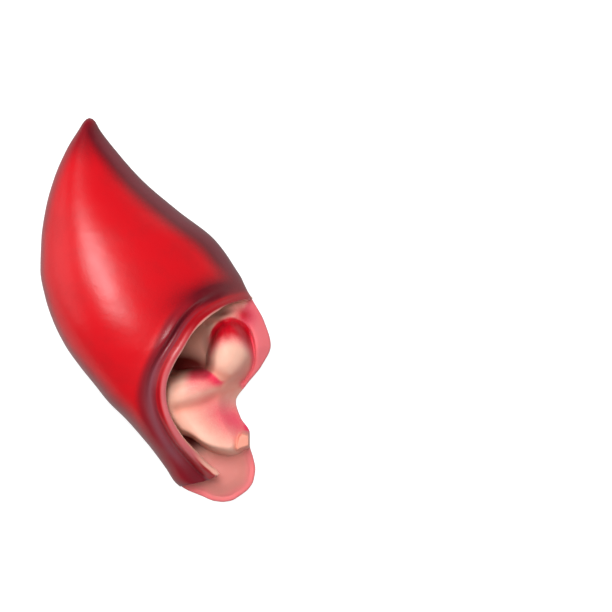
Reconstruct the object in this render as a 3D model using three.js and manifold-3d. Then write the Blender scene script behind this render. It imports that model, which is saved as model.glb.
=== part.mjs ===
// A slip-on costume ear, cast in one piece of latex about two millimetres thick.
//
// The ear lies on its back, as it does on a table: +Z is up, out of the ear's face, +Y runs from the
// lobe to the pointed tip, and +X runs from the ear's back edge to the front edge, next to the cheek.
// A smooth hood swells up from the tip. Its free edge is a rolled lip, which winds round the mouth of
// the ear. In the mouth lies the inner ear, a thin sheet in low relief with a hollow behind it. An oval
// opening in the flat back lets the wearer's own ear into the hood.
//
// The casting is worked out as a block less its hollows, the way a mould maker thinks of it. Places in
// the plan are given as shares: "across" of the ear's width, from its back edge, and "down" of its
// length, from its tip.

import * as THREE from "three";
import { mergeVertices } from "three/addons/utils/BufferGeometryUtils.js";
import Module from "manifold-3d";

// Driving sizes, in millimetres
const EAR_LENGTH = 125; // from the tip to the bottom of the lobe
const EAR_WIDTH = 74.4; // from the back edge to the front edge
const HOOD_HEIGHT = 36; // from the table to the top of the hood
const INNER_EAR_HEIGHT = 23; // from the table to the top of the inner ear's highest fold
const WALL = 1.8; // thickness of the latex
const INNER_EAR_WALL = 2.2; // a little more in the folds of the inner ear
const LIP_RADIUS = 1.6; // of the rolled edge round the mouth
const CHANNEL_SETBACK = 6.2; // from the lip's edge to the middle of the channel behind it
const CHANNEL_RADIUS = 4.5; // of the round tool that the channel is cut with
const CHANNEL_DEPTH = 1.0;
const TIP_SOLID = 4.5; // length of the tip that is solid latex
const OPENING_LENGTH = 46; // of the oval in the back that the wearer's ear goes through
const OPENING_WIDTH = 27;

// Fineness of the faceted surfaces
const BODY_RINGS = 38;
const BODY_SIDES = 38;
const LINING_RINGS = 28;
const LINING_SIDES = 30;
const RELIEF_CELL = 1.9; // side of the inner ear's grid squares
const LIP_STEPS = 44;
const LIP_SIDES = 8;
const CHANNEL_STEPS = 30;
const CHANNEL_SIDES = 16;
const OUTLINE_STEPS = 60;

// Cross-sections of the hood and back, from the tip to the lobe. Left and right are the outline.
// Crest, leftEdge, rightEdge and sole are heights, as shares of HOOD_HEIGHT. Where the sole is below 0
// the section is cut off level with the table, which makes the flat back that the ear rests on.
const SECTIONS = [
  { down: 0.0, left: 0.214, right: 0.214, crest: 0.36, leftEdge: 0.36, rightEdge: 0.36, sole: 0.36 },
  { down: 0.005, left: 0.196, right: 0.231, crest: 0.4, leftEdge: 0.36, rightEdge: 0.36, sole: 0.32 },
  { down: 0.031, left: 0.166, right: 0.257, crest: 0.47, leftEdge: 0.36, rightEdge: 0.36, sole: 0.24 },
  { down: 0.083, left: 0.113, right: 0.324, crest: 0.57, leftEdge: 0.36, rightEdge: 0.35, sole: 0.13 },
  { down: 0.161, left: 0.057, right: 0.44, crest: 0.69, leftEdge: 0.36, rightEdge: 0.33, sole: -0.03 },
  { down: 0.239, left: 0.022, right: 0.593, crest: 0.8, leftEdge: 0.37, rightEdge: 0.3, sole: -0.08 },
  { down: 0.316, left: 0.004, right: 0.757, crest: 0.89, leftEdge: 0.37, rightEdge: 0.25, sole: -0.08 },
  { down: 0.394, left: 0.0, right: 0.85, crest: 0.96, leftEdge: 0.37, rightEdge: 0.18, sole: -0.08 },
  { down: 0.467, left: 0.022, right: 0.915, crest: 1.0, leftEdge: 0.37, rightEdge: 0.1, sole: -0.08 },
  { down: 0.529, left: 0.057, right: 0.972, crest: 1.0, leftEdge: 0.37, rightEdge: 0.05, sole: -0.08 },
  { down: 0.591, left: 0.109, right: 1.0, crest: 0.97, leftEdge: 0.36, rightEdge: 0.05, sole: -0.08 },
  { down: 0.643, left: 0.17, right: 0.961, crest: 0.93, leftEdge: 0.35, rightEdge: 0.05, sole: -0.08 },
  { down: 0.695, left: 0.24, right: 0.892, crest: 0.88, leftEdge: 0.34, rightEdge: 0.05, sole: -0.08 },
  { down: 0.737, left: 0.296, right: 0.847, crest: 0.83, leftEdge: 0.33, rightEdge: 0.05, sole: -0.08 },
  { down: 0.778, left: 0.366, right: 0.867, crest: 0.77, leftEdge: 0.31, rightEdge: 0.05, sole: -0.08 },
  { down: 0.82, left: 0.43, right: 0.908, crest: 0.69, leftEdge: 0.28, rightEdge: 0.05, sole: -0.08 },
  { down: 0.851, left: 0.475, right: 0.908, crest: 0.61, leftEdge: 0.25, rightEdge: 0.05, sole: -0.08 },
  { down: 0.882, left: 0.514, right: 0.922, crest: 0.49, leftEdge: 0.21, rightEdge: 0.05, sole: -0.08 },
  { down: 0.913, left: 0.549, right: 0.932, crest: 0.38, leftEdge: 0.16, rightEdge: 0.05, sole: -0.08 },
  { down: 0.944, left: 0.58, right: 0.924, crest: 0.29, leftEdge: 0.11, rightEdge: 0.05, sole: -0.08 },
  { down: 0.965, left: 0.623, right: 0.903, crest: 0.22, leftEdge: 0.07, rightEdge: 0.05, sole: -0.08 },
  { down: 0.986, left: 0.706, right: 0.858, crest: 0.14, leftEdge: 0.05, rightEdge: 0.05, sole: -0.08 },
  { down: 0.9965, left: 0.748, right: 0.826, crest: 0.09, leftEdge: 0.05, rightEdge: 0.05, sole: -0.03 },
  { down: 1.0, left: 0.789, right: 0.789, crest: 0.04, leftEdge: 0.04, rightEdge: 0.04, sole: 0.04 },
];

// Where the dome of a section has its top, and how full its shoulders are
const CREST_SHARE = 0.32;
const CREST_SKEW = Math.log(0.5) / Math.log(CREST_SHARE);
const DOME_FULLNESS = 0.62;
const SOLE_SQUARENESS = 3;
const SOLE_FULLNESS = 0.5;

// The lip's free edge, from the front edge round the mouth to the end over the lobe
const LIP_EDGE = [
  { across: 0.908, down: 0.47 },
  { across: 0.876, down: 0.471 },
  { across: 0.824, down: 0.48 },
  { across: 0.771, down: 0.493 },
  { across: 0.719, down: 0.516 },
  { across: 0.675, down: 0.545 },
  { across: 0.627, down: 0.589 },
  { across: 0.584, down: 0.628 },
  { across: 0.558, down: 0.659 },
  { across: 0.547, down: 0.693 },
  { across: 0.551, down: 0.732 },
  { across: 0.566, down: 0.768 },
  { across: 0.593, down: 0.802 },
  { across: 0.632, down: 0.838 },
  { across: 0.68, down: 0.869 },
  { across: 0.728, down: 0.898 },
  { across: 0.778, down: 0.921 },
];

// What the channel leaves free at the lip's two ends, as shares of the lip's length, and the share of
// the channel over which it grows to its full depth
const CHANNEL_SPAN = { startGap: 0.1, endGap: 0.03, fade: 0.15 };

// The hood's lower edge, from the lip's end back to the outline
const HOOD_HEM = [
  { across: 0.762, down: 0.934 },
  { across: 0.72, down: 0.938 },
  { across: 0.632, down: 0.955 },
  { across: 0.585, down: 0.966 },
];

// Where the oval opening lies in the back, and how far it leans with the ear, in degrees
const OPENING = { across: 0.315, down: 0.43, turn: 18 };

// Outline of the cushion that the folds of the inner ear stand on, seen from above. Past the front
// edge it runs on outside the ear.
const CUSHION = [
  { across: 0.751, down: 0.522 },
  { across: 0.716, down: 0.551 },
  { across: 0.699, down: 0.590 },
  { across: 0.703, down: 0.623 },
  { across: 0.721, down: 0.649 },
  { across: 0.677, down: 0.652 },
  { across: 0.624, down: 0.657 },
  { across: 0.571, down: 0.670 },
  { across: 0.533, down: 0.697 },
  { across: 0.524, down: 0.730 },
  { across: 0.540, down: 0.766 },
  { across: 0.574, down: 0.799 },
  { across: 0.616, down: 0.828 },
  { across: 0.668, down: 0.849 },
  { across: 0.721, down: 0.868 },
  { across: 0.782, down: 0.875 },
  { across: 0.843, down: 0.875 },
  { across: 0.895, down: 0.862 },
  { across: 0.965, down: 0.831 },
  { across: 0.965, down: 0.732 },
  { across: 0.882, down: 0.683 },
  { across: 0.904, down: 0.636 },
  { across: 0.904, down: 0.590 },
  { across: 0.873, down: 0.543 },
  { across: 0.817, down: 0.517 },
];
const CUSHION_HEIGHT = 0.56; // share of INNER_EAR_HEIGHT
const CUSHION_SHOULDER = 7; // distance over which the cushion's side rises
const SHOULDER_ROUNDNESS = 2.2;

// Soft swellings and dips. Radii are shares of the ear's width and length, rise is a share of
// INNER_EAR_HEIGHT, and turn is in degrees.
const FOLDS = [
  { name: "upper fold", across: 0.795, down: 0.603, radiusAcross: 0.09, radiusDown: 0.075, turn: 0, rise: 0.36 },
  { name: "middle fold", across: 0.645, down: 0.707, radiusAcross: 0.18, radiusDown: 0.056, turn: 14, rise: 0.34 },
  { name: "lower fold", across: 0.7, down: 0.82, radiusAcross: 0.17, radiusDown: 0.045, turn: -38, rise: 0.25 },
  { name: "bowl", across: 0.86, down: 0.755, radiusAcross: 0.11, radiusDown: 0.06, turn: 0, rise: -0.2 },
];

// Low ground between the cushion and the rest, as mounds that stand on the table
const GROUND = [
  { name: "hood floor", across: 0.8, down: 0.525, radiusAcross: 0.17, radiusDown: 0.08, turn: 30, rise: 0.42 },
  { name: "lobe", across: 0.773, down: 0.927, radiusAcross: 0.19, radiusDown: 0.085, turn: -15, rise: 0.2 },
];

// The small raised nub at the front edge, above the lobe. It isn't rounded off with the sheet's edge.
const NUB = { across: 0.868, down: 0.842, radiusAcross: 0.045, radiusDown: 0.034, turn: -20, rise: 0.36 };

// The strip along the front edge, as a ridge down its inner side
const STRIP = {
  rise: 0.26,
  radius: 0.06,
  path: [
    { across: 0.86, down: 0.48 },
    { across: 0.9, down: 0.53 },
    { across: 0.925, down: 0.58 },
    { across: 0.915, down: 0.64 },
    { across: 0.88, down: 0.69 },
  ],
};

// Creases pressed into the inner ear. Depth is a share of INNER_EAR_HEIGHT.
const CREASES = [
  {
    name: "under the middle fold",
    depth: 0.07,
    radius: 0.03,
    path: [
      { across: 0.598, down: 0.751 },
      { across: 0.672, down: 0.74 },
      { across: 0.769, down: 0.722 },
      { across: 0.838, down: 0.691 },
    ],
  },
  {
    name: "under the upper fold",
    depth: 0.12,
    radius: 0.03,
    path: [
      { across: 0.716, down: 0.649 },
      { across: 0.782, down: 0.668 },
      { across: 0.852, down: 0.67 },
      { across: 0.886, down: 0.634 },
    ],
  },
];

// The part of the plan that the inner ear is modelled over, a little past the outline
const RELIEF_AREA = { left: 0.46, right: 1.01, top: 0.36, bottom: 1.01 };
const SPREAD_END = Math.exp(-4); // what is left of a swelling at twice its radii
const BLEND = 4; // how sharply mounds run into each other: higher is sharper
const EDGE_FALL = 7; // distance over which the inner ear falls to its thin front edge
const NUB_FALL = 2;
const SOFTENING = 1.1;
const BACK_CLEARANCE = 0.25; // keeps the hollow's ceiling clear of the flat back where it would graze it

const wasm = await Module();
wasm.setup();

// Shapes of the tables

// The value of one column at a place, on a smooth curve that keeps between its neighbours.
function readTable(rows, key, column, at) {
  const last = rows.length - 1;
  if (at <= rows[0][key]) return rows[0][column];
  if (at >= rows[last][key]) return rows[last][column];
  let i = 0;
  while (rows[i + 1][key] < at) i += 1;
  const step = (j) => rows[j + 1][key] - rows[j][key];
  const slope = (j) => (rows[j + 1][column] - rows[j][column]) / step(j);
  const tangent = (j) => {
    if (j === 0) return slope(0);
    if (j === last) return slope(last - 1);
    const before = slope(j - 1);
    const after = slope(j);
    if (before * after <= 0) return 0;
    return (2 * before * after) / (before + after);
  };
  const h = step(i);
  const t = (at - rows[i][key]) / h;
  const startShare = (1 + 2 * t) * (1 - t) ** 2;
  const endShare = t * t * (3 - 2 * t);
  return (
    startShare * rows[i][column] +
    endShare * rows[i + 1][column] +
    t * (1 - t) ** 2 * h * tangent(i) -
    t * t * (1 - t) * h * tangent(i + 1)
  );
}

const sectionAt = (column, down) => readTable(SECTIONS, "down", column, down);
const toX = (across) => across * EAR_WIDTH;
const toY = (down) => (1 - down) * EAR_LENGTH;
const downOf = (y) => 1 - y / EAR_LENGTH;
const planPoint = (row) => new THREE.Vector2(toX(row.across), toY(row.down));

// Height of the dome over a section, from 0 at both edges to 1 at its crest.
const dome = (q) => Math.sin(Math.PI * q ** CREST_SKEW) ** DOME_FULLNESS;

// Depth of the belly under a section, from 0 at both edges to 1 over most of its width.
const belly = (q) => (1 - Math.abs(2 * q - 1) ** SOLE_SQUARENESS) ** SOLE_FULLNESS;

// One section's measures in millimetres, drawn in by an inset on every side.
function sectionMeasures(down, inset) {
  const probe = 0.004;
  const slopeOf = (side) =>
    ((sectionAt(side, down + probe) - sectionAt(side, down - probe)) * EAR_WIDTH) /
    (2 * probe * EAR_LENGTH);
  const drawIn = (side) => inset * Math.min(Math.hypot(1, slopeOf(side)), 2.5);
  return {
    left: toX(sectionAt("left", down)) + drawIn("left"),
    right: toX(sectionAt("right", down)) - drawIn("right"),
    crest: sectionAt("crest", down) * HOOD_HEIGHT - inset,
    leftEdge: sectionAt("leftEdge", down) * HOOD_HEIGHT,
    rightEdge: sectionAt("rightEdge", down) * HOOD_HEIGHT,
    sole: sectionAt("sole", down) * HOOD_HEIGHT + inset,
  };
}

// Height of the hood's outer surface over a point of the plan.
function hoodHeight(x, y) {
  const m = sectionMeasures(downOf(y), 0);
  const q = THREE.MathUtils.clamp((x - m.left) / (m.right - m.left), 0, 1);
  const edge = THREE.MathUtils.lerp(m.leftEdge, m.rightEdge, q);
  return edge + (m.crest - edge) * dome(q);
}

// Meshes and solids

function solidFrom(positions, indices) {
  const geometry = new THREE.BufferGeometry();
  geometry.setAttribute("position", new THREE.Float32BufferAttribute(positions, 3));
  geometry.setIndex(indices);
  const merged = mergeVertices(geometry, 1e-4);
  return new wasm.Manifold(
    new wasm.Mesh({
      numProp: 3,
      vertProperties: merged.attributes.position.array,
      triVerts: new Uint32Array(merged.index.array),
    }),
  );
}

// A closed skin through rings of equal count, each end drawn to one point.
function skinOverRings(startPoint, rings, endPoint) {
  const sides = rings[0].length;
  const positions = [startPoint, ...rings.flat(), endPoint].flatMap((p) => [p.x, p.y, p.z]);
  const at = (ring, side) => 1 + ring * sides + (side % sides);
  const end = 1 + rings.length * sides;
  const indices = [];
  for (let side = 0; side < sides; side += 1) {
    indices.push(0, at(0, side + 1), at(0, side));
    indices.push(end, at(rings.length - 1, side), at(rings.length - 1, side + 1));
    for (let ring = 0; ring + 1 < rings.length; ring += 1) {
      indices.push(at(ring, side), at(ring, side + 1), at(ring + 1, side));
      indices.push(at(ring, side + 1), at(ring + 1, side + 1), at(ring + 1, side));
    }
  }
  return solidFrom(positions, indices);
}

// The closed pod through all sections, drawn in by an inset, between two places along the ear.
function pod(inset, start, end, ringCount, sideCount) {
  const ringAt = (down) => {
    const m = sectionMeasures(down, inset);
    return Array.from({ length: sideCount }, (_, side) => {
      const angle = (2 * Math.PI * side) / sideCount;
      const q = (1 + Math.cos(angle)) / 2;
      const edge = THREE.MathUtils.lerp(m.leftEdge, m.rightEdge, q);
      const isTop = side <= sideCount / 2;
      const z = isTop
        ? edge + (m.crest - edge) * dome(q)
        : edge - (edge - m.sole) * belly(q);
      return new THREE.Vector3(
        THREE.MathUtils.lerp(m.left, m.right, q),
        toY(down),
        Math.max(z, inset),
      );
    });
  };
  const poleAt = (down) => {
    const m = sectionMeasures(down, 0);
    return new THREE.Vector3((m.left + m.right) / 2, toY(down), (m.crest + m.sole) / 2);
  };
  // Rings lie closer together towards both ends, where the outline turns fastest.
  const rings = Array.from({ length: ringCount }, (_, ring) => {
    const t = (ring + 1) / (ringCount + 1);
    const eased = 0.35 * t + 0.65 * (1 - Math.cos(Math.PI * t)) * 0.5;
    return ringAt(THREE.MathUtils.lerp(start, end, eased));
  });
  return skinOverRings(poleAt(start), rings, poleAt(end));
}

// A solid over a rectangle of the plan, from a level floor up to a height function.
function blockUnder(heightAt, low, high, floor) {
  const columns = Math.ceil((high.x - low.x) / RELIEF_CELL);
  const rows = Math.ceil((high.y - low.y) / RELIEF_CELL);
  const positions = [];
  for (const isTop of [true, false]) {
    for (let row = 0; row <= rows; row += 1) {
      for (let column = 0; column <= columns; column += 1) {
        const x = THREE.MathUtils.lerp(low.x, high.x, column / columns);
        const y = THREE.MathUtils.lerp(low.y, high.y, row / rows);
        positions.push(x, y, isTop ? heightAt(x, y) : floor);
      }
    }
  }
  const layer = (rows + 1) * (columns + 1);
  const top = (row, column) => row * (columns + 1) + column;
  const bottom = (row, column) => layer + top(row, column);
  const indices = [];
  // A cell is split along the diagonal whose two ends are closer in height.
  const heightOf = (index) => positions[3 * index + 2];
  const quad = (a, b, c, d) => {
    const straight = Math.abs(heightOf(a) - heightOf(c)) <= Math.abs(heightOf(b) - heightOf(d));
    indices.push(...(straight ? [a, b, c, a, c, d] : [a, b, d, b, c, d]));
  };
  for (let row = 0; row < rows; row += 1) {
    for (let column = 0; column < columns; column += 1) {
      quad(top(row, column), top(row, column + 1), top(row + 1, column + 1), top(row + 1, column));
      quad(
        bottom(row, column),
        bottom(row + 1, column),
        bottom(row + 1, column + 1),
        bottom(row, column + 1),
      );
    }
    quad(bottom(row, 0), top(row, 0), top(row + 1, 0), bottom(row + 1, 0));
    quad(top(row, columns), bottom(row, columns), bottom(row + 1, columns), top(row + 1, columns));
  }
  for (let column = 0; column < columns; column += 1) {
    quad(top(0, column), bottom(0, column), bottom(0, column + 1), top(0, column + 1));
    quad(bottom(rows, column), top(rows, column), top(rows, column + 1), bottom(rows, column + 1));
  }
  return solidFrom(positions, indices);
}

// An upright prism on a closed outline of plan points.
function prism(points, low, high) {
  const geometry = new THREE.ExtrudeGeometry(new THREE.Shape(points), {
    depth: high - low,
    bevelEnabled: false,
  });
  geometry.deleteAttribute("normal");
  geometry.deleteAttribute("uv");
  geometry.translate(0, 0, low);
  const merged = mergeVertices(geometry, 1e-4);
  return solidFrom(merged.attributes.position.array, Array.from(merged.index.array));
}

// A round bar along a path, with its own radius at each step and both ends drawn to a point.
function bar(centres, radii, sides) {
  const curve = new THREE.CatmullRomCurve3(centres);
  const count = centres.length;
  const rings = centres.slice(1, -1).map((centre, i) => {
    const along = curve.getTangent((i + 1) / (count - 1));
    const side = new THREE.Vector3(0, 0, 1).cross(along).normalize();
    const up = along.clone().cross(side);
    return Array.from({ length: sides }, (_, s) => {
      const angle = (2 * Math.PI * s) / sides;
      return centre
        .clone()
        .addScaledVector(side, radii[i + 1] * Math.cos(angle))
        .addScaledVector(up, radii[i + 1] * Math.sin(angle));
    });
  });
  return skinOverRings(centres[0], rings, centres[count - 1]);
}

// The ear's own shapes

// The lip's edge as a smooth curve in the plan, and points set back from it into the hood.
const lipCurve = new THREE.SplineCurve(LIP_EDGE.map(planPoint));

function setBackFromLip(share, distance) {
  const tangent = lipCurve.getTangent(share);
  return lipCurve.getPoint(share).add(new THREE.Vector2(tangent.y, -tangent.x).multiplyScalar(distance));
}

// Rises from 0 to 1 as its argument does, and stays there.
const fadeIn = (share) => Math.sin((Math.PI / 2) * Math.min(share, 1));

function lipBar() {
  const shares = Array.from({ length: LIP_STEPS + 1 }, (_, i) => i / LIP_STEPS);
  const radii = shares.map((share) => LIP_RADIUS * fadeIn(share / 0.1) * fadeIn((1 - share) / 0.03));
  const centres = shares.map((share, i) => {
    const p = setBackFromLip(share, radii[i]);
    return new THREE.Vector3(p.x, p.y, hoodHeight(p.x, p.y) - WALL / 2);
  });
  return bar(centres, radii, LIP_SIDES);
}

// The direction straight out of the hood's outer surface, over a point of the plan.
function hoodNormal(x, y) {
  const step = 0.5;
  const slopeX = (hoodHeight(x + step, y) - hoodHeight(x - step, y)) / (2 * step);
  const slopeY = (hoodHeight(x, y + step) - hoodHeight(x, y - step)) / (2 * step);
  return new THREE.Vector3(-slopeX, -slopeY, 1).normalize();
}

// A bar that lies in the channel, grown by a margin all round.
function channelBar(margin) {
  const centres = [];
  const radii = [];
  for (let i = 0; i <= CHANNEL_STEPS; i += 1) {
    const step = i / CHANNEL_STEPS;
    const fade = fadeIn(step / CHANNEL_SPAN.fade) * fadeIn((1 - step) / CHANNEL_SPAN.fade);
    const share = THREE.MathUtils.lerp(CHANNEL_SPAN.startGap, 1 - CHANNEL_SPAN.endGap, step);
    const p = setBackFromLip(share, CHANNEL_SETBACK);
    const lift = CHANNEL_RADIUS - CHANNEL_DEPTH * fade;
    const surface = new THREE.Vector3(p.x, p.y, hoodHeight(p.x, p.y));
    centres.push(surface.addScaledVector(hoodNormal(p.x, p.y), lift));
    radii.push(CHANNEL_RADIUS + margin);
  }
  return bar(centres, radii, CHANNEL_SIDES);
}

// The plan of the mouth: the lip's edge, the hood's lower edge, and a wide turn outside the ear.
function mouthPlan() {
  const outside = EAR_WIDTH * 0.1;
  return [
    ...lipCurve.getPoints(LIP_STEPS),
    ...HOOD_HEM.map(planPoint),
    new THREE.Vector2(toX(0.5), -outside),
    new THREE.Vector2(EAR_WIDTH + outside, -outside),
    new THREE.Vector2(EAR_WIDTH + outside, toY(0.455)),
    new THREE.Vector2(toX(0.93), toY(0.466)),
  ];
}

// A soft swelling, highest at its centre and down to nothing at twice its radii.
function swelling(mound, x, y) {
  const turn = THREE.MathUtils.degToRad(mound.turn);
  const dx = x - toX(mound.across);
  const dy = y - toY(mound.down);
  const u = (dx * Math.cos(turn) + dy * Math.sin(turn)) / (mound.radiusAcross * EAR_WIDTH);
  const v = (dy * Math.cos(turn) - dx * Math.sin(turn)) / (mound.radiusDown * EAR_LENGTH);
  const spread = Math.max(Math.exp(-(u * u + v * v)) - SPREAD_END, 0) / (1 - SPREAD_END);
  return mound.rise * INNER_EAR_HEIGHT * spread;
}

function distanceToPath(points, x, y) {
  let nearest = Infinity;
  for (let i = 0; i + 1 < points.length; i += 1) {
    const a = points[i];
    const alongX = points[i + 1].x - a.x;
    const alongY = points[i + 1].y - a.y;
    const lengthSquared = Math.max(alongX * alongX + alongY * alongY, 1e-9);
    const share = ((x - a.x) * alongX + (y - a.y) * alongY) / lengthSquared;
    const held = Math.min(Math.max(share, 0), 1);
    nearest = Math.min(nearest, Math.hypot(x - a.x - held * alongX, y - a.y - held * alongY));
  }
  return nearest;
}

function isInside(points, x, y) {
  let inside = false;
  for (let i = 0; i + 1 < points.length; i += 1) {
    const a = points[i];
    const b = points[i + 1];
    const spans = a.y > y !== b.y > y;
    if (spans && x < a.x + ((b.x - a.x) * (y - a.y)) / (b.y - a.y)) inside = !inside;
  }
  return inside;
}

const closedCushion = [...CUSHION, CUSHION[0]].map(planPoint);
const cushionOutline = new THREE.SplineCurve(closedCushion).getPoints(CUSHION.length * 3);

// The cushion with its folds: a rounded side all round, and the folds' heights inside it.
function cushionHeight(x, y) {
  if (!isInside(cushionOutline, x, y)) return 0;
  const reach = Math.min(distanceToPath(cushionOutline, x, y) / CUSHION_SHOULDER, 1);
  const top = FOLDS.reduce((sum, fold) => sum + swelling(fold, x, y), CUSHION_HEIGHT * INNER_EAR_HEIGHT);
  return top * (1 - (1 - reach) ** SHOULDER_ROUNDNESS);
}

const creasePaths = CREASES.map((crease) => crease.path.map(planPoint));
const stripPath = STRIP.path.map(planPoint);

function creaseDepth(x, y) {
  return CREASES.reduce((sum, crease, i) => {
    const reach = distanceToPath(creasePaths[i], x, y) / (crease.radius * EAR_WIDTH);
    return sum + crease.depth * INNER_EAR_HEIGHT * Math.exp(-(reach ** 2));
  }, 0);
}

function stripHeight(x, y) {
  const reach = distanceToPath(stripPath, x, y) / (STRIP.radius * EAR_WIDTH);
  return STRIP.rise * INNER_EAR_HEIGHT * Math.max(1 - (reach / 2) ** 2, 0) ** 3;
}

// The greater of two heights, with the corner between them rounded.
const blend = (a, b) => (a ** BLEND + b ** BLEND) ** (1 / BLEND);

const sideOfOutline = (side) =>
  Array.from({ length: OUTLINE_STEPS + 1 }, (_, i) => {
    const down = i / OUTLINE_STEPS;
    return new THREE.Vector2(toX(sectionAt(side, down)), toY(down));
  });
const earOutline = [...sideOfOutline("right"), ...sideOfOutline("left").reverse()];

// Height of the inner ear's face above the table, with its folds as sharp as they are drawn.
function crispFaceHeight(x, y) {
  const ground = GROUND.reduce((sum, mound) => sum + swelling(mound, x, y), 0);
  const cushion = Math.max(cushionHeight(x, y) - creaseDepth(x, y), 0);
  const raised = [cushion, stripHeight(x, y)].reduce(blend, ground);
  const edge = isInside(earOutline, x, y) ? distanceToPath(earOutline, x, y) : 0;
  const fall = THREE.MathUtils.smoothstep(edge, 0, EDGE_FALL);
  const nubFall = THREE.MathUtils.smoothstep(edge, 0, NUB_FALL);
  return WALL + blend(raised * fall, swelling(NUB, x, y) * nubFall);
}

const circle = (radius, count) =>
  Array.from({ length: count }, (_, i) => {
    const angle = (2 * Math.PI * i) / count;
    return { x: radius * Math.cos(angle), y: radius * Math.sin(angle) };
  });

// The face as it is cast: the folds softened over a small circle, as liquid latex fills them.
const softeningCircle = [{ x: 0, y: 0 }, ...circle(SOFTENING, 6)];

function innerEarHeight(x, y) {
  const sum = softeningCircle.reduce((total, p) => total + crispFaceHeight(x + p.x, y + p.y), 0);
  return sum / softeningCircle.length;
}

// Height of the inner ear's back, which keeps one wall's thickness off the face on all sides.
function innerEarBack(x, y) {
  const lowest = [0, 0.55, 0.85, 1].flatMap((share) => {
    const drop = INNER_EAR_WALL * Math.sqrt(1 - share ** 2);
    return circle(share * INNER_EAR_WALL, 8).map((p) => innerEarHeight(x + p.x, y + p.y) - drop);
  });
  return Math.min(...lowest) - BACK_CLEARANCE;
}

// The oval opening in the back, cut straight up through the wall.
function wearerOpening() {
  const centre = planPoint(OPENING);
  const oval = new THREE.EllipseCurve(
    centre.x,
    centre.y,
    OPENING_WIDTH / 2,
    OPENING_LENGTH / 2,
    0,
    2 * Math.PI,
    false,
    THREE.MathUtils.degToRad(OPENING.turn),
  );
  return prism(oval.getPoints(48).slice(0, -1), -WALL, 2 * WALL);
}

function earCasting() {
  const tipShare = TIP_SOLID / EAR_LENGTH;
  const wallShare = WALL / EAR_LENGTH;
  const deep = -HOOD_HEIGHT;
  const body = pod(0, 0, 1, BODY_RINGS, BODY_SIDES);
  const lining = pod(WALL, tipShare, 1 - wallShare, LINING_RINGS, LINING_SIDES);
  const mouth = prism(mouthPlan(), WALL, 2 * HOOD_HEIGHT);
  const reliefLow = new THREE.Vector2(toX(RELIEF_AREA.left), toY(RELIEF_AREA.bottom));
  const reliefHigh = new THREE.Vector2(toX(RELIEF_AREA.right), toY(RELIEF_AREA.top));
  const face = blockUnder(innerEarHeight, reliefLow, reliefHigh, deep);
  const back = blockUnder(innerEarBack, reliefLow, reliefHigh, deep);
  return body
    .subtract(channelBar(0))
    .subtract(lining.subtract(channelBar(WALL)))
    .add(lipBar())
    .subtract(mouth)
    .add(body.intersect(face))
    .subtract(back)
    .subtract(wearerOpening());
}

function meshOf(name, solid, material) {
  const { vertProperties, triVerts } = solid.getMesh();
  const geometry = new THREE.BufferGeometry();
  geometry.setAttribute("position", new THREE.Float32BufferAttribute(vertProperties, 3));
  geometry.setIndex(new THREE.BufferAttribute(triVerts, 1));
  geometry.computeVertexNormals();
  const mesh = new THREE.Mesh(geometry, material);
  mesh.name = name;
  return mesh;
}

const redLatex = new THREE.MeshStandardMaterial({ color: 0xd0101c, roughness: 0.42, metalness: 0 });

const ear = new THREE.Group();
ear.add(meshOf("ear_casting", earCasting(), redLatex));
ear.position.set(-EAR_WIDTH / 2, -EAR_LENGTH / 2, 0);

export default ear;
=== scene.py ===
"""A slip-on pointed costume ear of painted latex, lying on its back on a pale table.

The ear is made of two skins. The hood swells up from the tip and ends in a rolled lip round the
mouth. The inner ear is a sheet in low relief, with its lobe, that lies in the mouth. Lengths are in
millimetres here, and become metres when a mesh is made. Places in the plan are shares: "across" of
the ear's width, from its back edge, and "down" of its length, from its tip.
"""

import math

import bpy
import numpy as np
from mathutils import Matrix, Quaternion, Vector


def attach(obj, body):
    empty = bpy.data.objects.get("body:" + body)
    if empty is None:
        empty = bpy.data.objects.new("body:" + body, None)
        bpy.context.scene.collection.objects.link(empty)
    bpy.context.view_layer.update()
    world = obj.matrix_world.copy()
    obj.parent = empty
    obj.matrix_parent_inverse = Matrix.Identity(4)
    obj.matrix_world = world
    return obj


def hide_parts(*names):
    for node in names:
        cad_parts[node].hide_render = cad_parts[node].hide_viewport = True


# Driving sizes, in millimetres
EAR_LENGTH = 125.0
EAR_WIDTH = 74.4
HOOD_HEIGHT = 36.0
INNER_EAR_HEIGHT = 23.0
WALL = 1.8
LIP_RADIUS = 1.45
OPENING_LENGTH = 46.0
OPENING_WIDTH = 27.0
OPENING = {"across": 0.315, "down": 0.43, "turn": 18.0}

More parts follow.
